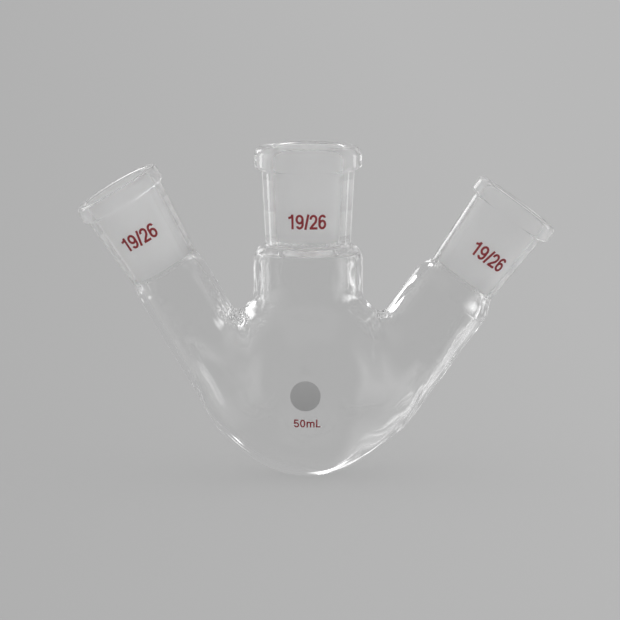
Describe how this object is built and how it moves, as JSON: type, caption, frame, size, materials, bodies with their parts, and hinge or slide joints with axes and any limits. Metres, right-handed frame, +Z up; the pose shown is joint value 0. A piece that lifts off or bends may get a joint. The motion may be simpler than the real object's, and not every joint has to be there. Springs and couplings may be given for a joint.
{
  "type": "round bottom flask",
  "caption": "Clear glass round-bottom flask with a vertical centre neck and a leaning neck on each side, each ending in a rimmed ground socket, for boiling and reactions.",
  "frame": {"origin": "the lowest point of the bulb, on the centre neck's axis", "axes": "+Z up the centre neck's axis, +X towards the right neck, -Y towards the marked front"},
  "size_m": [0.1252, 0.0511, 0.0871],
  "materials": {
    "clear_glass": "blown and fire-polished borosilicate",
    "ground_glass": "borosilicate with a ground bore",
    "grey_enamel": "fired grey enamel, satin",
    "red_enamel": "fired red enamel figures"
  },
  "bodies": {
    "root": {"bulb": "clear_glass", "centre_neck_tube": "clear_glass", "left_neck_tube": "clear_glass", "right_neck_tube": "clear_glass", "centre_socket": "ground_glass", "left_socket": "ground_glass", "right_socket": "ground_glass", "marking_spot": "grey_enamel"}
  },
  "joints": []
}
